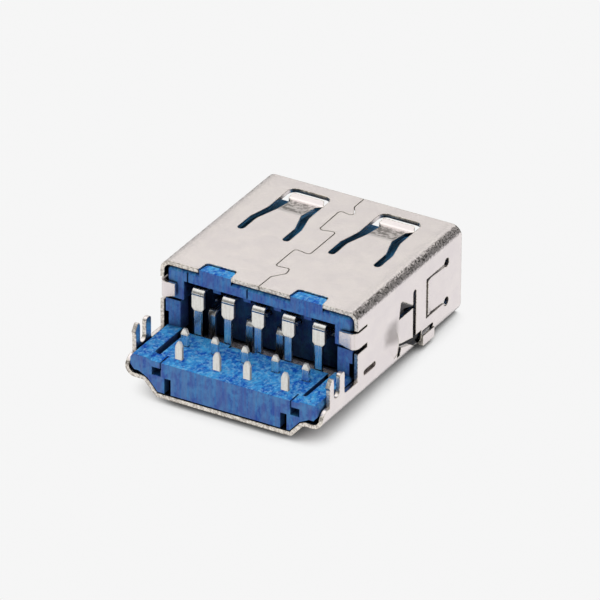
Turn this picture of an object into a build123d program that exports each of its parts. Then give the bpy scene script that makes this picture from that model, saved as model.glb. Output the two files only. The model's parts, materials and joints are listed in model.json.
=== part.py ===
# USB-A socket with nine contacts, reverse mid-mount, lying with its solder pins up.
# Millimetres. +X right and +Y out of the plug mouth, +Z up along the pins.
# The origin is under the middle of the socket, at the underside of the rear tray.

import os

from build123d import *

os.makedirs("parts", exist_ok=True)

# Folded sheet of the shell
sheet = 0.25
shell_width = 13.05
shell_height = 5.67
shell_length = 12.15
corner_radius = 0.65
tail_length = 4.0
tray_drop = 0.9
ledge_width = 1.25
tray_slope = 0.8

# Clearances between pieces
housing_clearance = 0.03
contact_clearance = 0.03
key_clearance = 0.05
spacer_clearance = 0.12
tray_clearance = 0.06

# Places that every piece is set from
overall_length = shell_length + tail_length
mouth = overall_length / 2
rear = mouth - shell_length
tail_end = rear - tail_length
under = tray_drop
floor = under + sheet
roof = under + shell_height - sheet
top = under + shell_height
wall_out = shell_width / 2
wall_in = wall_out - sheet
mid_height = under + shell_height / 2
ledge_half_width = wall_out - ledge_width
tray_half_width = ledge_half_width - tray_slope

# Pattern of keys and fingers, stamped a little to the right of the middle
pattern_shift = 0.09
pattern_half_pitch = 3.02
pattern_centre = pattern_shift + pattern_half_pitch

# Spring fingers of the top and bottom plates
finger_root = mouth - 6.75
finger_straight = mouth - 5.15
finger_neck = mouth - 3.65
finger_widening = mouth - 2.05
finger_dip = mouth - 1.62
finger_end = mouth - 1.25
finger_sink = 0.28
finger_lift = 0.03
finger_bend = 0.4
finger_corner = 0.35
finger_root_half = 1.28
finger_neck_half = 0.82
finger_tip_half = 1.17
finger_slot = 0.45
window_half = 1.38
window_end = mouth - 0.88
window_corner = 0.5

# Interlocking seam along the middle of the top plate
seam_gap = 0.05
seam_left = -0.42
seam_right = 0.63
seam_round = 0.2

# Rear notches of the top plate and the keys in them
key_places = (pattern_shift - pattern_half_pitch, pattern_centre)
key_depth = 0.9
key_front_half = 0.95
key_rear_half = 1.06
key_round = 0.2
key_sink = 0.1

# Side springs, one in each wall
side_spring_root = mouth - 1.77
side_spring_tip = mouth - 3.95
side_spring_low = under + 1.55
side_spring_high = under + 4.12
side_spring_sink = 0.08
side_slit_high = 0.2
side_slit_low = 0.1
relief_radius = 0.28

# Board stop in each wall: louvre, window, panel, slot, gap and foot
louvre_rear = rear + 2.8
louvre_front = rear + 4.3
louvre_high = under + 3.7
louvre_low = under + 1.95
louvre_height = 0.28
louvre_round = 0.95
louvre_skin_depth = 0.2
panel_top = under + 3.0
window_rear = rear + 4.8
window_high = under + 4.0
window_shoulder = 0.2
slot_rear = rear + 6.45
slot_width = 0.36
slot_low = under + 1.15
slot_top = under + 4.1
gap_rear = rear + 4.62
gap_front = rear + 7.45
gap_low = under + 0.3
gap_high = under + 1.05
gap_slit = 0.28
foot_rear = rear + 7.5
foot_front = rear + 8.85
foot_top = under + 0.65
foot_slit = 0.28
foot_stand = 0.1

# Retention tabs folded in behind the housing
tab_low = under + 3.35
tab_high = under + 4.4
tab_tip_low = under + 3.75
tab_reach = 1.1
tab_slit_length = 1.1
tab_low_slit = 0.3
tab_high_slit = 0.14
tab_bend = 0.4

# Dent pressed into each wall behind the tab
dent_rear = rear + 0.7
dent_front = rear + 2.1
dent_height = under + 1.5
dent_width = 0.34
dent_depth = 0.18

# Rear wings and the forked board-lock legs
wing_height = 1.1
wing_notch = 1.25
wing_round = 0.6
leg_top = under + 2.85
leg_barb = 0.1
leg_barb_height = under + 2.42
rear_prong_back = rear - 3.17
rear_prong_front = rear - 2.72
front_prong_back = rear - 2.05
front_prong_front = rear - 1.5
leg_slot_low = under + 1.42
leg_round = 0.2

# Tray behind the housing
ramp_rear = rear + 1.0
ramp_front = rear + 2.2
tray_round = 0.35

# Housing and tongue
housing_rear = rear + 0.05
housing_front = rear + 3.4
recess_half_width = 5.0
recess_front = rear + 2.3
band_height = 0.85
band_line = 0.1
tongue_half_width = 5.55
tongue_thickness = 1.84
tongue_gap = 0.68
tongue_end = mouth - 0.75
tongue_chamfer = 0.25
lug_width = 0.5
lug_rear = rear + 0.4
lug_drop = 0.42
band_lines = (-4.75, -0.8)

# Contacts: five above, four below
upper_pitch = 2.0
upper_count = 5
lower_places = (-3.5, -1.0, 1.0, 3.5)
contact_thickness = 0.2
upper_width = 0.8
tail_width = 0.45
upper_level = under + 4.25
lower_level = under + 2.68
contact_bend = 0.28
upper_drop = rear
lower_drop = rear + 0.75
upper_run = under + 0.3
lower_run = under - 0.2
upper_pin = rear - 1.5
lower_pin = rear - 3.0
pin_top = under + 2.48
pin_taper = 0.3
pin_tip_half = 0.1
pad_level = roof - tongue_gap - tongue_thickness + contact_thickness / 2
arm_dip = under + 2.3
arm_lift = 0.3
arm_width = 1.0
arm_run = 1.8
tail_front = rear + 1.9
shoulder_low = under + 2.95
shoulder_high = under + 3.15

# Tail spacer
plate_top = under + 1.39
plate_under = under + 0.62
plate_front = rear - 0.15
plate_half_width = 4.7
groove_half_width = 5.05
groove_end = rear - 3.1
rail_top = under + 1.5
arm_half_width = wall_in - 0.1
block_depth = 0.55
block_line_half = 4.3
post_half_inner = 5.2
post_rear = rear
post_front = rear + 0.9
post_top = under + 3.22
block_low = under - 0.55
arm_low = under + 0.5
hollow_half_width = 4.26
post_notch = 0.2
post_notch_low = under + 1.4
post_notch_high = under + 2.35
rear_shift = 0.13
hole_middle = 4.58
hole_width = 0.6
hole_height = under + 0.75
hole_rise = 0.52
hole_depth = 0.9
notch_middle = 3.83
notch_width = 0.42
notch_top = under + 0.45
notch_depth = 0.6
line_width = 0.1
line_drop = 0.5
gate_middle = -0.93
gate_width = 1.65
gate_depth = 0.32


def strip(path, width, thickness, plane, radius):
    """A bent strip of sheet: path in the plane, thickness across it, width through it."""
    with BuildPart() as piece:
        with BuildSketch(plane):
            with BuildLine():
                FilletPolyline(*path, radius=radius)
            trace(line_width=thickness)
        extrude(amount=width / 2, both=True)
    return piece.part


# Spring finger of the top plate: side profile cut to its outline from above
finger_middle = top - sheet / 2
finger_path = (
    (finger_root - sheet, finger_middle),
    (finger_neck, finger_middle),
    (finger_dip, finger_middle - finger_sink),
    (finger_end, finger_middle - finger_lift),
)
with BuildPart() as finger:
    with BuildSketch(Plane.YZ.offset(pattern_centre)):
        with BuildLine():
            FilletPolyline(*finger_path, radius=finger_bend)
        trace(line_width=sheet)
    extrude(amount=window_half, both=True)
    with BuildSketch(Plane.XY.offset(mid_height)):
        half_outline = (
            (finger_root_half, finger_root - 2 * sheet),
            (finger_root_half, finger_straight),
            (finger_neck_half, finger_neck),
            (finger_neck_half, finger_widening),
            (finger_tip_half, finger_dip),
            (finger_tip_half - finger_corner, window_end),
        )
        with BuildLine():
            Polyline(
                *[(pattern_centre + x, y) for x, y in half_outline],
                *[(pattern_centre - x, y) for x, y in reversed(half_outline)],
                close=True,
            )
        make_face()
    extrude(amount=shell_height, mode=Mode.INTERSECT)

# Side spring of the right wall, rooted at its front end and bent into the mouth
side_middle = wall_out - sheet / 2
side_spring = strip(
    (
        (side_middle, side_spring_root + sheet),
        (side_middle, side_spring_root - sheet),
        (side_middle - side_spring_sink, side_spring_tip + 2 * sheet),
        (side_middle - side_spring_sink + sheet / 3, side_spring_tip),
    ),
    side_spring_high - side_spring_low - side_slit_high - side_slit_low,
    sheet,
    Plane.XY.offset((side_spring_high + side_spring_low - side_slit_high + side_slit_low) / 2),
    finger_bend,
)

# Retention tab of the right wall, folded in across the rear of the housing
with BuildPart() as tab:
    with BuildSketch(Plane.XY.offset((tab_low + tab_high) / 2)):
        with BuildLine():
            FilletPolyline(
                (side_middle, rear + tab_slit_length + sheet),
                (side_middle, rear - sheet / 2),
                (wall_out - tab_reach, rear - sheet / 2),
                radius=tab_bend,
            )
        trace(line_width=sheet)
    extrude(amount=(tab_high - tab_low) / 2, both=True)
    with BuildSketch(Plane.XZ.offset(-rear - tab_slit_length - 2 * sheet)):
        with BuildLine():
            Polyline(
                (wall_out + sheet, tab_high),
                (wall_out - tab_reach - sheet, tab_high),
                (wall_out - tab_reach - sheet, tab_tip_low - sheet / 4),
                (wall_out - sheet, tab_low),
                (wall_out + sheet, tab_low),
                close=True,
            )
        make_face()
    extrude(amount=tab_slit_length + 4 * sheet, mode=Mode.INTERSECT)

# Forked board-lock leg on the right rear wing
with BuildPart() as leg:
    with BuildSketch(Plane.YZ.offset(wall_in)) as leg_face:
        with BuildLine():
            Polyline(
                (rear + sheet, under + corner_radius),
                (rear + sheet, under + wing_notch),
                (front_prong_front, under + wing_notch),
                (front_prong_front, leg_top - leg_barb),
                (front_prong_back, leg_top - leg_barb),
                (front_prong_back, leg_slot_low),
                (rear_prong_front, leg_slot_low),
                (rear_prong_front, leg_top - leg_round),
                (rear_prong_front - leg_round / 2, leg_top),
                (rear_prong_back + leg_round, leg_top),
                (rear_prong_back - leg_barb, leg_barb_height),
                (rear_prong_back, leg_barb_height - 2 * leg_barb),
                (rear_prong_back, under + corner_radius),
                close=True,
            )
        make_face()
        slot_corners = leg_face.vertices().filter_by(
            lambda v: abs(v.Y - leg_slot_low) < 0.01
        )
        fillet(slot_corners, (front_prong_back - rear_prong_front) / 2 - 0.01)
        prong_corners = leg_face.vertices().filter_by(
            lambda v: abs(v.Y - leg_top + leg_barb) < 0.01
        )
        fillet(prong_corners, leg_round)
        notch_corner = leg_face.vertices().filter_by(
            lambda v: abs(v.Y - under - wing_notch) < 0.01 and v.X < rear - sheet
        )
        fillet(notch_corner, leg_round)
    extrude(amount=sheet)

# Ramp from the flat floor down to the tray, lofted between two sheet sections
ramp_half = ledge_half_width + sheet


def ramp_section(drop):
    """Outline of the floor sheet, its middle lowered by drop."""
    inner = sheet / 2
    right = (
        (ledge_half_width, under),
        (tray_half_width, under - drop),
    )
    upper = (
        (tray_half_width - inner, floor - drop),
        (ledge_half_width - inner, floor),
    )
    points = [(ramp_half, under), *right]
    points += [(-x, z) for x, z in reversed(right)]
    points += [(-ramp_half, under), (-ramp_half, floor)]
    points += [(-x, z) for x, z in reversed(upper)]
    points += [*upper, (ramp_half, floor)]
    return points


with BuildPart() as ramp:
    with BuildSketch(Plane.XZ.offset(-ramp_rear)):
        with BuildLine():
            Polyline(*ramp_section(tray_drop), close=True)
        make_face()
    with BuildSketch(Plane.XZ.offset(-ramp_front)):
        with BuildLine():
            Polyline(*ramp_section(0.001), close=True)
        make_face()
    loft(ruled=True)

# Louvre pressed out of the right wall: a cone that widens down and forward to a cut end
louvre_axis = wall_out + louvre_height - louvre_round
louvre_run = louvre_front - louvre_rear
louvre_fall = louvre_low - louvre_high
louvre_length = (louvre_run**2 + louvre_fall**2) ** 0.5
louvre_plane = Plane(
    origin=(louvre_axis, louvre_rear, louvre_high),
    x_dir=(0, louvre_run, louvre_fall),
    z_dir=(0, louvre_fall, -louvre_run),
)


def louvre_cone(inset):
    """Solid cone of the louvre, inset from its outer skin."""
    start = louvre_round - louvre_height - inset
    growth = louvre_height / louvre_length
    end = 1.5 * louvre_length
    with BuildPart() as cone:
        with BuildSketch(louvre_plane):
            with BuildLine():
                Polyline((0, 0), (0, start), (end, start + growth * end), (end, 0), close=True)
            make_face()
        revolve(axis=Axis(louvre_plane.origin, louvre_plane.x_dir))
        split(bisect_by=Plane.YZ.offset(wall_in), keep=Keep.TOP)
        split(bisect_by=Plane.XZ.offset(-louvre_front), keep=Keep.TOP)
    return cone.part


louvre = louvre_cone(0)
louvre_hollow = louvre_cone(louvre_skin_depth)

# Square foot in front of the board stop, standing a little proud of the wall
with BuildPart() as foot:
    with BuildSketch(Plane.YZ.offset(wall_in)):
        with Locations(((foot_rear + foot_front) / 2, (under + foot_top) / 2)):
            Rectangle(foot_front - foot_rear, foot_top - under)
    extrude(amount=sheet + foot_stand)

# Window round the right finger of the top plate
with BuildPart() as finger_window:
    with BuildSketch(Plane.XY.offset(roof - sheet / 2)):
        leg_side = finger_root_half + finger_slot / 2
        leg_start = finger_root + finger_slot / 2
        for side in (-leg_side, leg_side):
            with Locations((pattern_centre + side, leg_start)):
                Circle(finger_slot / 2)
            with Locations((pattern_centre + side, (leg_start + finger_straight) / 2)):
                Rectangle(finger_slot, finger_straight - leg_start)
        with BuildSketch(mode=Mode.PRIVATE) as opening:
            with BuildLine():
                Polyline(
                    (pattern_centre - leg_side - finger_slot / 2, finger_straight),
                    (pattern_centre - window_half, finger_neck),
                    (pattern_centre - window_half, window_end),
                    (pattern_centre + window_half, window_end),
                    (pattern_centre + window_half, finger_neck),
                    (pattern_centre + leg_side + finger_slot / 2, finger_straight),
                    close=True,
                )
            make_face()
            front_corners = opening.vertices().group_by(Axis.Y)[-1]
            fillet(front_corners, window_corner)
        add(opening.sketch)
    extrude(amount=2 * sheet)

# Seam line of the top plate, from its rear edge to the mouth
seam_path = (
    (0.0, rear - sheet),
    (0.02, rear + 1.35),
    (0.6, rear + 2.1),
    (0.5, rear + 2.72),
    (seam_left, rear + 2.6),
    (seam_left, rear + 4.9),
    (seam_right, rear + 4.72),
    (seam_right, rear + 7.85),
    (seam_left, rear + 7.6),
    (seam_left - 0.05, rear + 10.2),
    (seam_right - 0.02, rear + 10.0),
    (0.03, rear + 11.0),
    (0.03, mouth + sheet),
)

# The shell: one folded sheet
with BuildPart() as shell:
    # Tube
    with BuildSketch(Plane.XZ.offset(-mouth)):
        with Locations((0, mid_height)):
            RectangleRounded(shell_width, shell_height, corner_radius)
            RectangleRounded(
                shell_width - 2 * sheet,
                shell_height - 2 * sheet,
                corner_radius - sheet,
                mode=Mode.SUBTRACT,
            )
    extrude(amount=shell_length)
    # Floor opened where the tray begins
    with BuildSketch(Plane.XY.offset(under - sheet)):
        with Locations((0, (rear + ramp_front) / 2)):
            Rectangle(2 * ledge_half_width, ramp_front - rear)
    extrude(amount=3 * sheet, mode=Mode.SUBTRACT)
    # Tray, ledges and wings in one section
    with BuildSketch(Plane.XZ.offset(-ramp_rear)) as tray_section:
        with BuildLine():
            Polyline(
                (wall_out, mid_height),
                (wall_out, under),
                (ledge_half_width, under),
                (tray_half_width, under - tray_drop),
                (-tray_half_width, under - tray_drop),
                (-ledge_half_width, under),
                (-wall_out, under),
                (-wall_out, mid_height),
                close=True,
            )
        make_face()
        fold_corners = tray_section.vertices().filter_by(lambda v: abs(v.Y - under) < 0.01)
        fillet(fold_corners.filter_by(lambda v: abs(v.X) > wall_in), corner_radius)
        tray_corners = tray_section.vertices().filter_by(
            lambda v: v.Y < under + 0.01 and abs(v.X) < ledge_half_width + 0.01
        )
        fillet(tray_corners, tray_round)
        offset(amount=-sheet, mode=Mode.SUBTRACT)
        with Locations((0, under + wing_height + shell_height / 2)):
            Rectangle(2 * shell_width, shell_height, mode=Mode.SUBTRACT)
    extrude(amount=ramp_rear - tail_end)
    add(ramp.part)
    # Rounded lower rear corner of each wing
    with BuildSketch(Plane.YZ) as wing_corner:
        with Locations((tail_end, under + wing_height)):
            Rectangle(2 * wing_round, 2 * wing_round)
        with Locations((tail_end + wing_round, under + wing_height - wing_round)):
            Circle(wing_round, mode=Mode.SUBTRACT)
    extrude(amount=shell_width, both=True, mode=Mode.SUBTRACT)
    # Louvres
    with BuildPart(mode=Mode.PRIVATE) as louvre_skin:
        add(louvre)
        add(louvre_hollow, mode=Mode.SUBTRACT)
    add(louvre_hollow, mode=Mode.SUBTRACT)
    mirror(louvre_hollow, about=Plane.YZ, mode=Mode.SUBTRACT)
    add(louvre_skin.part)
    mirror(louvre_skin.part, about=Plane.YZ)
    # Openings cut through both walls
    with BuildSketch(Plane.YZ) as wall_cuts:
        # Opening for the side spring
        with Locations(
            (
                (side_spring_root + side_spring_tip - side_slit_high) / 2,
                (side_spring_low + side_spring_high) / 2,
            )
        ):
            Rectangle(
                side_spring_root - side_spring_tip + side_slit_high,
                side_spring_high - side_spring_low,
            )
        # Window above the panel
        with BuildLine():
            Polyline(
                (window_rear, panel_top),
                (window_rear + window_shoulder, window_high),
                (window_rear + 2 * window_shoulder, window_high),
                (slot_rear, panel_top + slot_width / 2),
                (slot_rear, panel_top),
                close=True,
            )
        make_face()
        # Slot in front of the panel and stepped gap below it
        with Locations((slot_rear + slot_width / 2, (slot_top + slot_low) / 2)):
            SlotOverall(slot_top - slot_low, slot_width, rotation=90)
        with BuildLine():
            Polyline(
                (gap_rear, gap_low + gap_slit),
                (gap_rear, gap_high + 1.5 * gap_slit),
                (window_rear + gap_slit, gap_high + gap_slit),
                (slot_rear, gap_high),
                (slot_rear, slot_low + slot_width),
                (slot_rear + slot_width, slot_low + slot_width),
                (slot_rear + slot_width, gap_high),
                (gap_front, gap_high),
                (gap_front, gap_low),
                (slot_rear + slot_width, gap_low),
                (slot_rear - slot_width, gap_high - gap_slit),
                (window_rear + gap_slit, gap_high),
                (gap_rear + gap_slit, gap_low + gap_slit),
                close=True,
            )
        make_face()
        # Oblong hole above the foot
        with Locations(((foot_rear + foot_front) / 2, foot_top + foot_slit / 2)):
            SlotOverall(foot_front - foot_rear, foot_slit)
        # Slits above and below the retention tab
        with Locations((rear + tab_slit_length / 2, tab_high + tab_high_slit / 2)):
            Rectangle(tab_slit_length, tab_high_slit)
        with Locations((rear + tab_slit_length / 2, tab_low - tab_low_slit / 2)):
            Rectangle(tab_slit_length, tab_low_slit)
        with Locations((rear + tab_bend / 2, (tab_low + tab_high) / 2)):
            Rectangle(tab_bend, tab_high - tab_low)
    extrude(amount=shell_width, both=True, mode=Mode.SUBTRACT)
    # Fingers of the top and bottom plates, each in its window
    middle_plane = Plane.XY.offset(mid_height)
    pattern_plane = Plane.YZ.offset(pattern_shift)
    for plate in (finger_window.part, mirror(finger_window.part, about=middle_plane, mode=Mode.PRIVATE)):
        add(plate, mode=Mode.SUBTRACT)
        mirror(plate, about=pattern_plane, mode=Mode.SUBTRACT)
    for spring in (finger.part, mirror(finger.part, about=middle_plane, mode=Mode.PRIVATE)):
        add(spring)
        mirror(spring, about=pattern_plane)
    # Dents behind the tabs
    with BuildSketch(Plane.YZ.offset(wall_out - dent_depth)):
        with Locations(((dent_rear + dent_front) / 2, dent_height)):
            SlotOverall(dent_front - dent_rear, dent_width)
    extrude(amount=sheet, mode=Mode.SUBTRACT)
    with BuildSketch(Plane.YZ.offset(-wall_out + dent_depth)):
        with Locations(((dent_rear + dent_front) / 2, dent_height)):
            SlotOverall(dent_front - dent_rear, dent_width)
    extrude(amount=-sheet, mode=Mode.SUBTRACT)
    # Notches for the keys of the housing
    with BuildSketch(Plane.XY.offset(roof - sheet / 2)) as notches:
        for middle in key_places:
            with BuildLine():
                Polyline(
                    (middle - key_rear_half - key_clearance, rear - sheet),
                    (middle - key_front_half - key_clearance, rear + key_depth),
                    (middle + key_front_half + key_clearance, rear + key_depth),
                    (middle + key_rear_half + key_clearance, rear - sheet),
                    close=True,
                )
            make_face()
        fillet(notches.vertices().group_by(Axis.Y)[-1], key_round)
    extrude(amount=2 * sheet, mode=Mode.SUBTRACT)
    # Interlocking seam
    with BuildSketch(Plane.XY.offset(roof - sheet / 2)):
        with BuildLine():
            FilletPolyline(*seam_path, radius=seam_round)
        trace(line_width=seam_gap)
    extrude(amount=2 * sheet, mode=Mode.SUBTRACT)
    for piece in (leg.part, side_spring, tab.part, foot.part):
        add(piece)
        mirror(piece, about=Plane.YZ)
    # Relief holes at the roots of the side springs
    with BuildSketch(Plane.YZ):
        with Locations((side_spring_root, side_spring_low), (side_spring_root, side_spring_high)):
            Circle(relief_radius)
    extrude(amount=shell_width, both=True, mode=Mode.SUBTRACT)

shell.part.label = "shell"
export_step(shell.part, "parts/shell.step")


def blade(path, width, thickness, x):
    """A flat metal blade bent along path in a plane of constant x."""
    return strip(path, width, thickness, Plane.YZ.offset(x), contact_bend)


upper_path = (
    (mouth - 1.75, pad_level),
    (mouth - 3.25, pad_level),
    (mouth - 4.45, upper_level),
    (upper_drop, upper_level),
    (upper_drop, upper_run),
    (upper_pin, upper_run),
    (upper_pin, pin_top),
)
lower_path = (
    (mouth - 3.85, arm_dip + arm_lift),
    (mouth - 4.75, arm_dip),
    (housing_front + arm_run, lower_level),
    (lower_drop, lower_level),
    (lower_drop, lower_run),
    (lower_pin, lower_run),
    (lower_pin, pin_top),
)


def contact(x, path, width, pin_y, shoulders):
    """A stamped contact: bent blade, trimmed to its tail width, with a tapered pin."""
    with BuildPart() as piece:
        add(blade(path, width, contact_thickness, x))
        half = tail_width / 2
        for side in (-1, 1):
            with BuildSketch(Plane.XZ.offset(-tail_front)):
                with BuildLine():
                    Polyline(
                        (x + side * half, under - tray_drop),
                        (x + side * half, shoulders[0]),
                        (x + side * width / 2, shoulders[1]),
                        (x + side * width, shoulders[1]),
                        (x + side * width, under - tray_drop),
                        close=True,
                    )
                make_face()
            extrude(amount=tail_front - tail_end, mode=Mode.SUBTRACT)
            with BuildSketch(Plane.XZ.offset(-pin_y - contact_thickness)):
                with BuildLine():
                    Polyline(
                        (x + side * half, pin_top - pin_taper),
                        (x + side * pin_tip_half, pin_top),
                        (x + side * width, pin_top),
                        (x + side * width, pin_top - pin_taper),
                        close=True,
                    )
                make_face()
            extrude(amount=2 * contact_thickness, mode=Mode.SUBTRACT)
    return piece.part


upper_places = [upper_pitch * (n - (upper_count - 1) / 2) for n in range(upper_count)]

# Housing: body, tongue and keys in one moulding
slot_play = 2 * contact_clearance
with BuildPart() as housing:
    with BuildSketch(Plane.XZ.offset(-housing_front)):
        with Locations((0, mid_height)):
            RectangleRounded(
                2 * (wall_in - housing_clearance),
                roof - floor - 2 * housing_clearance,
                corner_radius - sheet,
            )
    extrude(amount=housing_front - housing_rear)
    upright_edges = housing.edges().filter_by(Axis.Z).group_by(Axis.Y)[0]
    chamfer(upright_edges, tab_bend - sheet / 2)
    # Recess behind the contacts, open to the rear and below
    with BuildSketch(Plane.XZ.offset(-recess_front)):
        with Locations((0, (roof - band_height + under) / 2)):
            Rectangle(2 * recess_half_width, roof - band_height - under)
    extrude(amount=recess_front - housing_rear, mode=Mode.SUBTRACT)
    # Pockets for the posts of the tail spacer
    for side in (-1, 1):
        with BuildSketch(Plane.XZ.offset(-post_front - spacer_clearance)):
            with Locations((side * (wall_in + recess_half_width) / 2, (post_top + under) / 2)):
                Rectangle(
                    wall_in - recess_half_width + spacer_clearance,
                    post_top - under + 2 * spacer_clearance,
                )
        extrude(amount=post_front + spacer_clearance - rear, mode=Mode.SUBTRACT)
    # Tongue
    with BuildSketch(Plane.XZ.offset(-tongue_end)):
        with Locations((0, roof - tongue_gap - tongue_thickness / 2)):
            Rectangle(2 * tongue_half_width, tongue_thickness)
    extrude(amount=tongue_end - housing_front)
    tip_edges = housing.edges().group_by(Axis.Y)[-1]
    chamfer(tip_edges, tongue_chamfer)
    # Keys in the notches of the shell
    with BuildSketch(Plane.XY.offset(roof - band_height / 2)) as keys:
        for middle in key_places:
            with BuildLine():
                Polyline(
                    (middle - key_rear_half, housing_rear),
                    (middle - key_front_half, rear + key_depth - key_clearance),
                    (middle + key_front_half, rear + key_depth - key_clearance),
                    (middle + key_rear_half, housing_rear),
                    close=True,
                )
            make_face()
        fillet(keys.vertices().group_by(Axis.Y)[-1], key_round)
    extrude(amount=band_height / 2 + sheet - key_sink)
    # Lugs between the upper contacts
    with BuildSketch(Plane.XZ.offset(-recess_front)):
        for place in upper_places[:-1]:
            with Locations((place + upper_pitch / 2, roof - band_height - lug_drop / 2)):
                Rectangle(lug_width, lug_drop)
    extrude(amount=recess_front - lug_rear)
    # Mould lines on the rear band
    for line in band_lines:
        with BuildSketch(Plane.XZ.offset(-housing_rear - band_line)):
            with Locations((line, roof - band_height / 2)):
                Rectangle(band_line, band_height)
        extrude(amount=2 * band_line, mode=Mode.SUBTRACT)
    # Slots that the contacts are pressed through
    for place in upper_places:
        add(
            blade(upper_path, upper_width + slot_play, contact_thickness + slot_play, place),
            mode=Mode.SUBTRACT,
        )
    for place in lower_places:
        add(
            blade(lower_path, arm_width + slot_play, contact_thickness + slot_play, place),
            mode=Mode.SUBTRACT,
        )
housing.part.label = "housing"
export_step(housing.part, "parts/housing.step")

# Tail spacer: plate, rear block, side arms and posts in one moulding
slope_run = (ledge_half_width - tray_half_width) / tray_drop
slope_inset = (sheet + tray_clearance) * (1 + slope_run**2) ** 0.5


def slope_x(height):
    """Half width of the block at a height, clear of the sloping side of the tray."""
    return tray_half_width + (height - under + tray_drop) * slope_run - slope_inset


arm_outline = (
    (0, block_low),
    (slope_x(block_low), block_low),
    (slope_x(floor - tray_clearance), floor - tray_clearance),
    (ledge_half_width + 0.35, arm_low),
    (arm_half_width - 0.25, arm_low),
    (arm_half_width, arm_low + 0.3),
    (arm_half_width, rail_top - 0.25),
    (arm_half_width - 0.15, rail_top),
    (groove_half_width, rail_top),
    (groove_half_width - 0.15, plate_top),
    (0, plate_top),
)
with BuildPart() as tail_spacer:
    with BuildSketch(Plane.XZ.offset(-groove_end)) as arm_section:
        with BuildLine():
            Polyline(*arm_outline, close=True)
        make_face()
        mirror(about=Plane.YZ)
    extrude(amount=groove_end - tail_end)
    # Arms and plate in front of the bridge
    with BuildSketch(Plane.XZ.offset(-plate_front)):
        with Locations((0, (plate_top + plate_under) / 2)):
            Rectangle(2 * plate_half_width, plate_top - plate_under)
    extrude(amount=plate_front - groove_end)
    with BuildSketch(Plane.XZ.offset(-post_rear)) as rail_section:
        add(arm_section.sketch)
        with Locations((0, mid_height)):
            Rectangle(2 * groove_half_width, 2 * shell_height, mode=Mode.SUBTRACT)
    extrude(amount=post_rear - groove_end)
    # Hollow below the plate for the contact tails
    with BuildSketch(Plane.XZ.offset(-plate_front)):
        with Locations((0, (block_low + plate_under) / 2 - sheet)):
            Rectangle(2 * hollow_half_width, plate_under - block_low + 2 * sheet)
    extrude(amount=plate_front - tail_end - block_depth, mode=Mode.SUBTRACT)
    # Posts
    for side in (-1, 1):
        with BuildSketch(Plane.XY.offset(rail_top - sheet)):
            with Locations(
                (side * (post_half_inner + arm_half_width) / 2, (post_rear + post_front) / 2)
            ):
                Rectangle(arm_half_width - post_half_inner, post_front - post_rear)
        extrude(amount=post_top - rail_top + sheet)
        with BuildSketch(Plane.XZ.offset(-post_front)):
            with Locations((side * arm_half_width, (post_notch_low + post_notch_high) / 2)):
                Rectangle(2 * post_notch, post_notch_high - post_notch_low)
        extrude(amount=post_front - post_rear, mode=Mode.SUBTRACT)
    # Rear face: square holes, upright notches and joint lines
    with BuildSketch(Plane.XZ.offset(-tail_end - hole_depth)):
        for side in (-1, 1):
            with Locations((rear_shift + side * hole_middle, hole_height)):
                Rectangle(hole_width, hole_rise)
    extrude(amount=2 * hole_depth, mode=Mode.SUBTRACT)
    with BuildSketch(Plane.XZ.offset(-tail_end - notch_depth)):
        for side in (-1, 1):
            with Locations((rear_shift + side * notch_middle, (block_low + notch_top) / 2)):
                Rectangle(notch_width, notch_top - block_low)
    extrude(amount=2 * notch_depth, mode=Mode.SUBTRACT)
    with BuildSketch(Plane.XZ.offset(-tail_end - line_width)):
        for side in (-1, 1):
            with Locations((rear_shift + side * block_line_half, plate_top - line_drop / 2)):
                Rectangle(line_width, line_drop)
    extrude(amount=2 * line_width, mode=Mode.SUBTRACT)
    with BuildSketch(Plane.XY.offset(plate_top - line_width)):
        for side in (-1, 1):
            with Locations((rear_shift + side * block_line_half, (groove_end + tail_end) / 2)):
                Rectangle(line_width, groove_end - tail_end)
        with Locations((gate_middle, plate_front)):
            Rectangle(gate_width, 2 * gate_depth)
    extrude(amount=sheet, mode=Mode.SUBTRACT)
    # Holes for the pins
    with BuildSketch(Plane.XY.offset(block_low)):
        for places, pin_y in ((upper_places, upper_pin), (lower_places, lower_pin)):
            for place in places:
                with Locations((place, pin_y)):
                    Rectangle(tail_width + slot_play, contact_thickness + slot_play)
    extrude(amount=shell_height, mode=Mode.SUBTRACT)
tail_spacer.part.label = "tail_spacer"
export_step(tail_spacer.part, "parts/tail_spacer.step")

for number, place in enumerate(upper_places, start=1):
    piece = contact(place, upper_path, upper_width, upper_pin, (shoulder_low, shoulder_high))
    piece.label = f"superspeed_contact_{number}"
    export_step(piece, f"parts/{piece.label}.step")

for number, place in enumerate(lower_places, start=1):
    piece = contact(place, lower_path, arm_width, lower_pin, (lower_level, lower_level + sheet))
    piece.label = f"usb2_contact_{number}"
    export_step(piece, f"parts/{piece.label}.step")
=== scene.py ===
# %% [markdown]
# # A USB socket, dressed and lit
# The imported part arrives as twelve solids: a folded nickel shell, a blue housing, a blue
# tail spacer and nine contacts. This lesson gives them the finishes that stamping, plating
# and moulding leave, and lights them as a product photograph does. The solids themselves
# stay untouched. Blender's own lengths are in metres. The noises and box masks below
# measure in millimetres, which suit a part this small.

import json
import math

import bpy
from mathutils import Matrix, Vector


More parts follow.
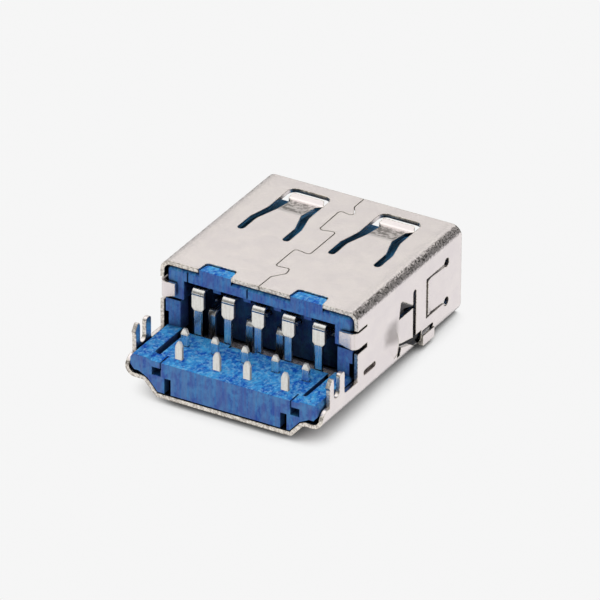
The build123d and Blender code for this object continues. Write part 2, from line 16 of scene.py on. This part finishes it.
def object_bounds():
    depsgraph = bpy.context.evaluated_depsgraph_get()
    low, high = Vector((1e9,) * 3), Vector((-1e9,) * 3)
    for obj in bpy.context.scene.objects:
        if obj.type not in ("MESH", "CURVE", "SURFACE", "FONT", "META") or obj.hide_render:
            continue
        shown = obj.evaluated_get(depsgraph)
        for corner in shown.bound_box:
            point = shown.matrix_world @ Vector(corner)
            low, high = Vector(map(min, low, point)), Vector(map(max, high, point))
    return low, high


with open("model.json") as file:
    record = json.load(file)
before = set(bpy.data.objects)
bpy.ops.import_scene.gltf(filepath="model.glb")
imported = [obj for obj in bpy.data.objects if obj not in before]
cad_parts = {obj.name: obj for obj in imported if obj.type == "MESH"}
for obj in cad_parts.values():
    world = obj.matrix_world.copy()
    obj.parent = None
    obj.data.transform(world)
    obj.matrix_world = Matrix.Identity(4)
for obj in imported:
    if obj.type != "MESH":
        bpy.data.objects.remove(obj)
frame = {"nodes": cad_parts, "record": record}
cad_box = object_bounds()
MM = 0.001
print("nodes:", sorted(frame["nodes"]))
print("box in mm:", [[round(v / MM, 2) for v in corner] for corner in cad_box])

# %% [markdown]
# ## Shader maths as plain Python
# A finish is a small sum: some noise, times a mask, plus a base value. Blender writes such a
# sum as a chain of Math nodes, which is slow to read. One class wraps the output of a node
# instead, so that `1 - mask * 0.3` builds the chain by itself. Every other kind of node
# comes from its one method `node`, which sets the node up and links its sockets.


# %% The socket wrapper
class Wire:
    """The output of a shader node. Arithmetic on it adds Math nodes to the same tree."""

    def __init__(self, tree, socket=None):
        self.tree = tree
        self.socket = socket

    def node(self, kind, settings=(), inputs=(), out=0):
        """Add a node of that kind: its settings first, then values or links of its sockets.

        A socket goes by its name, or by its number where several share one name.
        """
        made = self.tree.nodes.new(kind)
        for name, value in dict(settings).items():
            setattr(made, name, value)
        for name, value in dict(inputs).items():
            if isinstance(value, Wire):
                self.tree.links.new(value.socket, made.inputs[name])
            else:
                made.inputs[name].default_value = value
        return Wire(self.tree, made.outputs[out] if made.outputs else None)

    def math(self, operation, *values):
        return self.node("ShaderNodeMath", {"operation": operation}, enumerate(values))

    def __add__(self, other):
        return self.math("ADD", self, other)

    __radd__ = __add__

    def __sub__(self, other):
        return self.math("SUBTRACT", self, other)

    def __rsub__(self, other):
        return self.math("SUBTRACT", other, self)

    def __mul__(self, other):
        return self.math("MULTIPLY", self, other)

    __rmul__ = __mul__

    def __abs__(self):
        return self.math("ABSOLUTE", self)

    def clamp(self):
        """The value, held between 0 and 1."""
        return self.node("ShaderNodeClamp", inputs={"Value": self})

    def between(self, low, high):
        """0 below low, 1 above high, and smooth in between."""
        settings = {"interpolation_type": "SMOOTHSTEP"}
        inputs = {"Value": self, "From Min": low, "From Max": high}
        return self.node("ShaderNodeMapRange", settings, inputs)

    def blend(self, first, second):
        """Colour that is first where this mask is 0 and second where it is 1."""
        inputs = {0: self, 6: first, 7: second}
        return self.node("ShaderNodeMix", {"data_type": "RGBA"}, inputs, out=2)


print("the wrapper is ready")

# %% [markdown]
# ## A start for every material
# Each finish begins the same way: an empty tree, and the place of the point in the part's
# own frame. The place is measured in millimetres, so that a noise scale of 10 means ten
# bumps in a millimetre. Object coordinates are used because they stay with the part when
# it moves. Each finish also ends the same way, with one shader on the output.


# %% The material starter
def new_material(name):
    """A material, its wrapped tree, and the place of the shaded point in millimetres."""
    material = bpy.data.materials.new(name)
    material.use_nodes = True
    material.node_tree.nodes.clear()
    start = Wire(material.node_tree)
    metres = start.node("ShaderNodeTexCoord", out="Object")
    inputs = {0: metres, "Scale": 1 / MM}
    return material, start, start.node("ShaderNodeVectorMath", {"operation": "SCALE"}, inputs)


def finish_material(start, kind, inputs):
    """Set up a shader of that kind and join it to the output of the material."""
    shader = start.node(kind, inputs=inputs)
    start.node("ShaderNodeOutputMaterial", inputs={"Surface": shader})


print("the starter is ready")

# %% [markdown]
# ## Grain and relief
# Metal grain, cloudy stains and moulded texture are all noise, at different sizes.
# Stretching the place before the noise reads it draws the spots out into streaks. A
# bump tilts the shading by the same noise, for a relief that is too fine to model.


# %% Noise and bump
def noise(place, per_mm, detail=2.0, roughness=0.5):
    """Soft random value around 0.5, with that many bumps in a millimetre."""
    inputs = {"Vector": place, "Scale": per_mm, "Detail": detail, "Roughness": roughness}
    return place.node("ShaderNodeTexNoise", inputs=inputs)


def stretched(place, x, y, z):
    """The place with each axis scaled: a smaller number draws the noise out along it."""
    return place.node("ShaderNodeVectorMath", {"operation": "MULTIPLY"}, {0: place, 1: (x, y, z)})


def bump(height, strength, distance, normal):
    """Tilt of the surface from a height, added to the normal that it starts from."""
    inputs = {"Height": height, "Strength": strength, "Distance": distance, "Normal": normal}
    return height.node("ShaderNodeBump", inputs=inputs)


print("noise and bump are ready")

# %% [markdown]
# ## Masks read from the shape
# Three things about a stamped or moulded part follow its shape: edges are slightly rounded,
# folds show the grain of the stretched metal, and hollows hold little light. Each can be
# painted by hand, but a mask that reads the shape needs no painting and stays right when a
# size changes. The Bevel node rounds an edge in the shading alone, so the solid keeps its
# exact faces, and the Ambient Occlusion node says how much of the sky a point can see.


# %% Edge, fold and hollow masks
def rounded(start, radius):
    """Normal of the surface as if every edge had that radius."""
    return start.node("ShaderNodeBevel", {"samples": 6}, {"Radius": radius})


def near_edge(start, radius):
    """0 on an open face, 1 on an edge: from a turn of 11 degrees, and full at 41."""
    flat = start.node("ShaderNodeNewGeometry", out="Normal")
    both = {0: flat, 1: rounded(start, radius)}
    dot = {"operation": "DOT_PRODUCT"}
    agreement = start.node("ShaderNodeVectorMath", dot, both, out="Value")
    return (1 - agreement).between(0.02, 0.25)


def along(vector, axis):
    """The X, Y or Z of a vector."""
    return vector.node("ShaderNodeSeparateXYZ", inputs={0: vector}, out=axis)


def facing(start, axis):
    """How far the face is turned along that axis, from 0 to 1, whichever its sign."""
    return abs(along(start.node("ShaderNodeTexCoord", out="Normal"), axis))


def on_fold(start):
    """0 on flat faces, 1 on bends: from a turn of 8 degrees, and full at 28."""
    x, y, z = [facing(start, axis) for axis in "XYZ"]
    longest = x.math("MAXIMUM", x, y.math("MAXIMUM", y, z))
    return (1 - longest).between(0.01, 0.12)


def open_to_sky(start, reach, alone=False):
    """0 deep in a hollow, 1 on an open face; nothing further than reach counts.

    Alone, only the solid's own walls count, and not its neighbours or the table.
    """
    occlusion = {"samples": 12, "only_local": alone}
    return start.node("ShaderNodeAmbientOcclusion", occlusion, {"Distance": reach}, out="AO")


print("the shape masks are ready")

# %% [markdown]
# ## Masks that sit at one place
# A patch of painted shade or painted light has no shape to read, so its mask is a plain box with
# soft borders, in the part's own frame. The ends of the part come from its measured box. The
# other limits are typed in, so they have to be set again when a length of the solids changes.

# %% Box masks
SIDE, MOUTH, TOP = [end / MM for end in cad_box[1]]
TAIL = cad_box[0][1] / MM


def in_box(place, box, fade):
    """1 inside a box, fading over that many millimetres outside it.

    The box gives the limits for each axis that it names. X counts on both sides.
    """
    mask = 1
    for axis, (low, high) in box.items():
        value = along(place, axis)
        if axis == "X":
            value = abs(value)
        mask = mask * value.between(low - fade, low) * (1 - value.between(high, high + fade))
    return mask


print("ends in mm:", [round(end, 3) for end in (SIDE, TAIL, MOUTH, TOP)])

# %% [markdown]
# ## Nickel plate on folded steel
# The shell is sheet steel, blanked, folded and nickel plated. Its faces are satin, with a fine
# grain, faint streaks along the rolling direction, and clouds that are a little warmer or cooler.
# The folds and edges need coarser noises for their speckle, and the patches of painted shade
# before the finger tips need blotches. All of them could be one noise at one size, but plated
# sheet looks real only when large and small variation lie over each other.

# %% Noises of the nickel
nickel, start, place = new_material("nickel plate")
grain = noise(place, per_mm=11.0, detail=4.0, roughness=0.7)
streaks = noise(stretched(place, 1.2, 0.08, 1.2), per_mm=3.0, detail=3.0)
clouds = noise(place, per_mm=0.8, detail=4.0, roughness=0.6)
speckle = noise(place, per_mm=8.0, detail=5.0, roughness=0.8)
specks = noise(place, per_mm=9.0, detail=2.0, roughness=0.6).between(0.42, 0.58)
blotches = noise(place, per_mm=3.2, detail=4.0, roughness=0.7)
print("nickel noises:", len(nickel.node_tree.nodes), "nodes so far")

# %% [markdown]
# ### Folds and cut edges
# The stretched grain stands up along the four long folds of the tube, and fades out
# beside them on the top face. The fold mask also finds the bent finger tips and the
# pressed shapes in the side walls. The photograph shows those smooth, so boxes keep the
# mask to the long folds. Where the sheet was sheared, the edge is browner than the faces.
# The cut faces look along the tube. So do the retention tabs, but what shows of them is
# plated face, and a box leaves them out.

# %% Fold and edge masks of the nickel
LONG_FOLDS = {"X": (5.9, SIDE)}
MIDDLE_OF_WALL = {"Z": (1.8, 5.7)}
BESIDE_FOLD = {"X": (5.95, SIDE)}
TOP_FACE = {"Z": (6.5, TOP)}
RETENTION_TAB = {"X": (5.0, 6.3), "Z": (4.2, 5.3)}
SHEARED_WIDTH = 0.13 * MM

fold = on_fold(start) * in_box(place, LONG_FOLDS, fade=0.2)
fold = fold * (1 - in_box(place, MIDDLE_OF_WALL, fade=0.2))
beside_fold = in_box(place, BESIDE_FOLD, fade=0.7) * in_box(place, TOP_FACE, fade=0.2)
cut_face = facing(start, "Y").between(0.6, 0.9)
cut_face = cut_face * (1 - in_box(place, RETENTION_TAB, fade=0.1))
edge = (near_edge(start, SHEARED_WIDTH) + 0.55 * cut_face).clamp()
print("fold and edge masks:", len(nickel.node_tree.nodes), "nodes so far")

# %% [markdown]
# ### Painted shade inside
# Through the windows of the shell its inside looks nearly black in the photograph. Plain shading
# leaves it too bright, so shade is painted into the colour: it goes down where a point sees
# little sky, and further down inside the tube, up to a soft border behind the mouth. The slits
# and the louvre of the side walls would go too dark with it, so a box takes half of that painted
# shade off there.

# %% Painted shade masks of the nickel
INSIDE_TUBE = {"X": (0.0, 6.29), "Y": (-4.1, MOUTH), "Z": (1.12, 5.7)}
MOUTH_LIGHT = (6.6, 8.0)
IN_THE_WALL = {"X": (6.32, SIDE), "Z": (1.6, 6.0)}
TUBE_REACH = 8 * MM
SLIT_REACH = 3 * MM

# Painted shade: the inside of the tube and the hollows get a darker colour, lifted again in the
# slits of the side walls.
inside = in_box(place, INSIDE_TUBE, fade=0.1) * (1 - along(place, "Y").between(*MOUTH_LIGHT))
own_walls = open_to_sky(start, TUBE_REACH, alone=True).between(0.32, 0.62)
sky_seen = own_walls * open_to_sky(start, SLIT_REACH).between(0.08, 0.36)
sky_seen = sky_seen * (1 - 0.9 * inside)
sky_seen = (sky_seen + 0.5 * in_box(place, IN_THE_WALL, fade=0.03)).clamp()
print("hollow masks:", len(nickel.node_tree.nodes), "nodes so far")

# %% [markdown]
# ### Colours and shader of the nickel
# The colours lie over each other as the marks do: first the warm and cool clouds, then the grey
# marks, the sheared edges, the specks of the folds, and last the painted shade of the hollows.
# The grey marks are two, both painted shade: blotches on the fingers of the top just before their
# tips, and a soft patch over the louvre in each side wall. The photograph shows a dark patch
# there, whose shape isn't known.

# %% Nickel shell
FACE_WARM = (0.86, 0.795, 0.785, 1)
FACE_COOL = (0.81, 0.745, 0.75, 1)
CUT = (0.93, 0.88, 0.76, 1)
SHEARED = (0.16, 0.125, 0.10, 1)
# Painted shade: the grey of the patches before the finger tips and over the louvre.
PAINTED_SHADE_GREY = (0.20, 0.18, 0.17, 1)
DARK_GRAIN = (0.05, 0.042, 0.035, 1)
# Painted shade: the colour the metal gets where it sees little sky.
SHADE_ON_METAL = (0.02, 0.02, 0.026, 1)
FINGERS_BEFORE_TIPS = {"X": (2.25, 3.8), "Y": (4.75, 6.1), "Z": (6.0, TOP)}
LOUVRE = {"X": (6.3, SIDE), "Y": (-0.5, 0.2), "Z": (3.2, 3.7)}

# Painted shade: darker blotches on the fingers just before their tips.
finger_tip_shade = in_box(place, FINGERS_BEFORE_TIPS, fade=0.15) * blotches.between(0.4, 0.56)
# Painted shade: a soft dark patch over the louvre in each side wall.
louvre_shade = in_box(place, LOUVRE, fade=0.7)
face = clouds.between(0.3, 0.7).blend(FACE_COOL, FACE_WARM)
face = (0.85 * finger_tip_shade + 0.6 * louvre_shade).blend(face, PAINTED_SHADE_GREY)
face = (edge * speckle.between(0.45, 0.56)).blend(edge.blend(face, CUT), SHEARED)
face = ((0.85 * fold + 0.12 * beside_fold).clamp() * specks).blend(face, DARK_GRAIN)
relief = grain + 0.4 * streaks + specks * fold * 2.8
finish_material(
    start,
    "ShaderNodeBsdfPrincipled",
    {
        "Base Color": sky_seen.blend(SHADE_ON_METAL, face),
        "Metallic": 1.0,
        "Roughness": 0.16 + 0.12 * grain + 0.05 * streaks + 0.1 * edge,
        "Normal": bump(relief, 0.4, 0.025 * MM, rounded(start, 0.04 * MM)),
    },
)
print("nickel plate:", len(nickel.node_tree.nodes), "nodes")

# %% [markdown]
# ## Blue moulded plastic
# Housings of this kind are usually a glass-filled plastic. It is matt, with a fine texture
# from the mould, and paler feathery patches show on the open faces, as glass near the skin
# would make them. Upright faces carry fine upright lines, like the scuffs that a mould
# leaves. One flat blue would be simpler, but it looks like toy plastic.

# %% Noises of the blue plastic
blue, start, place = new_material("blue plastic")
fine = noise(place, per_mm=14.0, detail=3.0, roughness=0.6)
mottle = noise(place, per_mm=1.1, detail=6.0, roughness=0.68)
feathers = noise(stretched(place, 3.0, 1.1, 1.1), per_mm=1.6, detail=6.0, roughness=0.72)
upright_lines = noise(stretched(place, 7.0, 7.0, 0.3), per_mm=1.0, detail=3.0)
# Pale fibres: a fibre texture, shown only on faces that look up, where it is also a painted glint
# of the light overhead.
fibre_glints = noise(place, per_mm=4.5, detail=4.0, roughness=0.75).between(0.51, 0.6)
glass = mottle.between(0.44, 0.56) * 0.55 + feathers.between(0.45, 0.55) * 0.45
print("blue noises:", len(blue.node_tree.nodes), "nodes so far")

# %% [markdown]
# ### Colours and shader of the blue
# Deep in the recess behind the contacts the plastic looks almost black, so shade is painted into
# its colour where it sees little sky. The tongue and the spacer also stand in hollows, but light
# reaches them in the photograph, so their boxes take some of that painted shade off. The tongue
# is also painted paler as painted light, and through the window in the top it is seen at its
# palest.

# %% Blue plastic
RESIN = (0.0, 0.095, 0.62, 1)
RESIN_PALE = (0.08, 0.49, 1.0, 1)
FIBRE_GLINT = (0.30, 0.66, 1.0, 1)
SCUFFED = (0.20, 0.28, 0.64, 1)
# Painted shade: the colour of the plastic deep in hollows.
SHADE_ON_RESIN = (0.001, 0.003, 0.012, 1)
TONGUE = {"Y": (-0.7, MOUTH)}
TONGUE_TOP = {"Y": (-0.7, MOUTH), "Z": (5.55, 6.0)}
SPACER = {"Y": (TAIL, -4.8)}
RECESS_REACH = 3 * MM

# Painted light: the tongue is lifted out of the painted shade and painted paler, most of all on
# its top.
lit_tongue = in_box(place, TONGUE, fade=0.2)
lit_tongue_top = in_box(place, TONGUE_TOP, fade=0.05)
sky_seen = open_to_sky(start, RECESS_REACH).between(0.32, 0.7)
sky_seen = (sky_seen + 0.7 * lit_tongue + 0.3 * in_box(place, SPACER, fade=0.2)).clamp()
upright = 1 - facing(start, "Z")
face = glass.blend(RESIN, RESIN_PALE)
face = (0.3 * lit_tongue + 0.5 * lit_tongue_top).clamp().blend(face, RESIN_PALE)
# Painted highlight: the pale fibres glint only on faces that look up.
face = (fibre_glints * (1 - upright) * 0.65).blend(face, FIBRE_GLINT)
face = (upright * upright_lines).blend(face, SCUFFED)
relief = fine + 1.2 * feathers + 0.5 * upright_lines
finish_material(
    start,
    "ShaderNodeBsdfPrincipled",
    {
        "Base Color": sky_seen.blend(SHADE_ON_RESIN, face),
        "Specular IOR Level": 0.08,
        "Roughness": 0.34 + 0.25 * fine,
        "Normal": bump(relief, 0.45, 0.04 * MM, rounded(start, 0.06 * MM)),
    },
)
print("blue plastic:", len(blue.node_tree.nodes), "nodes")

# %% [markdown]
# ## Tin plate on the contacts
# The contacts are stamped from a copper alloy and plated. They are brighter than the shell
# and have less grain, with faint lines along the blade, and the stamped edges are rounded
# enough to catch the light. The shoulders and the solder pins are flat in the solids, and
# flat faces come out grey there, where the photograph shows them white. A bump whose
# height changes steadily upwards turns them up to the light. It is shading alone, and no
# size changes.

# %% Contact metal
TIN_BRIGHT = (0.95, 0.94, 0.92, 1)
TIN_DULL = (0.80, 0.78, 0.75, 1)
SHOULDERS = {"Y": (-4.4, -3.9), "Z": (3.95, 4.85)}
ROW_OF_FOUR_PINS = {"Y": (-7.5, -6.6), "Z": (2.2, 3.4)}
ROW_OF_FIVE_PINS = {"Y": (-6.0, -5.2), "Z": (3.1, 3.4)}
TURN_UP = 1.1

tin, start, place = new_material("tin plate")
lines = noise(stretched(place, 6.0, 0.4, 0.4), per_mm=2.0, detail=2.0)
pits = noise(place, per_mm=8.0, detail=4.0, roughness=0.7)
turned_up = in_box(place, SHOULDERS, fade=0.08) + in_box(place, ROW_OF_FOUR_PINS, fade=0.05)
turned_up = (turned_up + in_box(place, ROW_OF_FIVE_PINS, fade=0.1)).clamp()
worn = bump(lines + pits, 0.25, 0.012 * MM, rounded(start, 0.07 * MM))
finish_material(
    start,
    "ShaderNodeBsdfPrincipled",
    {
        "Base Color": (0.6 * lines + 0.4 * pits).between(0.35, 0.6).blend(TIN_DULL, TIN_BRIGHT),
        "Metallic": 1.0,
        "Roughness": 0.18 + 0.16 * lines + 0.2 * turned_up,
        "Normal": bump(along(place, "Z") * turned_up, 1.0, -TURN_UP * MM, worn),
    },
)
print("tin plate:", len(tin.node_tree.nodes), "nodes")

# %% [markdown]
# ## Finishes onto the solids
# The part's record says which finish each solid has. The loop reads it from there, so no
# solid has to be named here, and a solid that is added to the record later is dressed too.

# %% Put the finishes on the solids
finishes = {"nickel_shell": nickel, "blue_plastic": blue, "contact_metal": tin}
for part in frame["record"]["subparts"]:
    node = frame["nodes"][part["node"]]
    node.data.materials.clear()
    node.data.materials.append(finishes[part["material_slot"]])
print("finishes:", {slot: material.name for slot, material in finishes.items()})

# %% [markdown]
# ## The table
# The socket rests on the front edge of its tray and on the lower lip of its mouth, which
# are at different heights. The part stays level in its own frame, so the table is the
# thing that tilts, just enough to reach both. It stays a hair below them, so that no two
# faces lie in one place.

# %% Pale table
TRAY_EDGE_Y = -3.075 * MM
LIP_HEIGHT = 0.9 * MM
TABLE_DROP = 0.02 * MM
TABLE_SIZE = 3.0

tray_edge = Vector((0, TRAY_EDGE_Y, 0))
mouth_lip = Vector((0, cad_box[1][1], LIP_HEIGHT))
tilt = math.atan2(mouth_lip.z - tray_edge.z, mouth_lip.y - tray_edge.y)
below = tray_edge - Vector((0, 0, TABLE_DROP))
bpy.ops.mesh.primitive_plane_add(size=TABLE_SIZE, location=below)
table = bpy.context.object
table.name = "table"
table.rotation_euler.x = tilt
print("the table tilts by", round(math.degrees(tilt), 2), "degrees")

# %% [markdown]
# ## White paper
# The photograph has a white background. More light would make one, but it would also burn
# out the metal. Instead the table is plain paper for the light that falls on it, and glows
# by itself for what looks at it: the camera, mirrors and clear things. Close to the socket,
# where it sees little sky, it is paper for them too, and so the soft shadow stays.

# %% Paper of the table
PAPER_WHITE = (0.92, 0.92, 0.92, 1)
SHADOW_REACH = 2 * MM

white, start, _ = new_material("white table")
lit = open_to_sky(start, SHADOW_REACH).between(0.1, 0.75)
camera_ray, mirror_ray, clear_ray = [
    start.node("ShaderNodeLightPath", out=ray)
    for ray in ("Is Camera Ray", "Is Glossy Ray", "Is Transmission Ray")
]
seen = (camera_ray + mirror_ray + clear_ray).clamp()
paper = start.node("ShaderNodeBsdfDiffuse", inputs={"Color": PAPER_WHITE})
glow = start.node("ShaderNodeEmission", inputs={"Color": PAPER_WHITE})
finish_material(start, "ShaderNodeMixShader", {0: seen * lit, 1: paper, 2: glow})
table.data.materials.append(white)
print("white table:", len(white.node_tree.nodes), "nodes")

# %% [markdown]
# ## Soft light
# A white room lights small metal parts well, because metal shows what surrounds it. The
# world is brightest where the top face mirrors it for the camera, and dimmer low down, so
# that the faces turned to the camera are darker than the top. One area is nearly
# black, like the dark flags that photographers hang beside metal. The right-hand fold of
# the top mirrors it, and so stands out from the bright faces on both sides.

# %% World
BRIGHT_WALL = (-0.43, 0.76, 0.49)
DARK_FLAG = (0.63, 0.76, 0.15)
UP = (0, 0, 1)
SKY = (1, 1, 0.96, 1)

world = bpy.data.worlds.new("studio")
bpy.context.scene.world = world
world.use_nodes = True
world.node_tree.nodes.clear()
start = Wire(world.node_tree)
direction = start.node("ShaderNodeTexCoord", out="Generated")


def toward(goal):
    """How far the direction points the way of that unit vector."""
    dot = {"operation": "DOT_PRODUCT"}
    return direction.node("ShaderNodeVectorMath", dot, {0: direction, 1: goal}, out="Value")


bright_wall = toward(BRIGHT_WALL).between(0.2, 0.9)
dark_flag = toward(DARK_FLAG).between(0.68, 0.93)
high = toward(UP).between(0.12, 0.46)
level = (0.35 + 0.4 * bright_wall) * (0.55 + 0.45 * high) * (1 - 0.93 * dark_flag)
sky = start.node("ShaderNodeBackground", inputs={"Color": SKY, "Strength": level})
start.node("ShaderNodeOutputWorld", inputs={"Surface": sky})
print("world:", len(world.node_tree.nodes), "nodes")

# %% [markdown]
# ## Key light
# One lamp overhead, a little to the left, brightens the faces that look up and draws the
# soft shadow. A small lamp would do that too, but the curved finger tips would mirror it as
# a burnt-out spot. A lamp that is far wider than the socket spreads over them as a glow.

# %% Key light
KEY_WIDTH = 0.6
KEY_WATTS = 0.66
KEY_PLACE = (-0.11, 0.0, 0.28)

key = bpy.data.lights.new("key", "AREA")
key.size = KEY_WIDTH
key.energy = KEY_WATTS
key_lamp = bpy.data.objects.new("key", key)
bpy.context.collection.objects.link(key_lamp)
key_lamp.location = KEY_PLACE
key_lamp.rotation_euler = (-key_lamp.location).to_track_quat("-Z", "Y").to_euler()
print("key light at", [round(v, 3) for v in key_lamp.location])

# %% [markdown]
# ## The camera
# The photograph was taken from far away with a long lens: its parallel edges hardly
# converge. The camera stands half a metre off, behind and to the right of the socket. Its
# angles, distance and focal length were fitted to edges of known length.

# %% Camera
AZIMUTH = math.radians(29.74)
ELEVATION = math.radians(29.19)
ROLL = math.radians(0.36)
DISTANCE = 510.2 * MM
FOCAL_PIXELS = 8843
IMAGE_PIXELS = 600
OFF_CENTRE_PIXELS = (2.14, -1.92)
SENSOR_MM = 36
AIM = Vector((0, 0.925, 3.4)) * MM
NEAREST = 10 * MM

across = math.cos(ELEVATION)
back = Vector((math.sin(AZIMUTH) * across, -math.cos(AZIMUTH) * across, math.sin(ELEVATION)))
camera_data = bpy.data.cameras.new("camera")
camera_data.sensor_width = SENSOR_MM
camera_data.lens = FOCAL_PIXELS / IMAGE_PIXELS * SENSOR_MM
camera_data.shift_x = -OFF_CENTRE_PIXELS[0] / IMAGE_PIXELS
camera_data.shift_y = OFF_CENTRE_PIXELS[1] / IMAGE_PIXELS
camera_data.clip_start = NEAREST
camera = bpy.data.objects.new("camera", camera_data)
bpy.context.collection.objects.link(camera)
turn = back.to_track_quat("Z", "Y").to_matrix() @ Matrix.Rotation(ROLL, 3, "Z")
camera.matrix_world = Matrix.Translation(AIM + back * DISTANCE) @ turn.to_4x4()
bpy.context.scene.camera = camera
bpy.context.scene.view_settings.view_transform = "Standard"
print("camera at", [round(v, 4) for v in camera.location], "lens", round(camera_data.lens, 1))
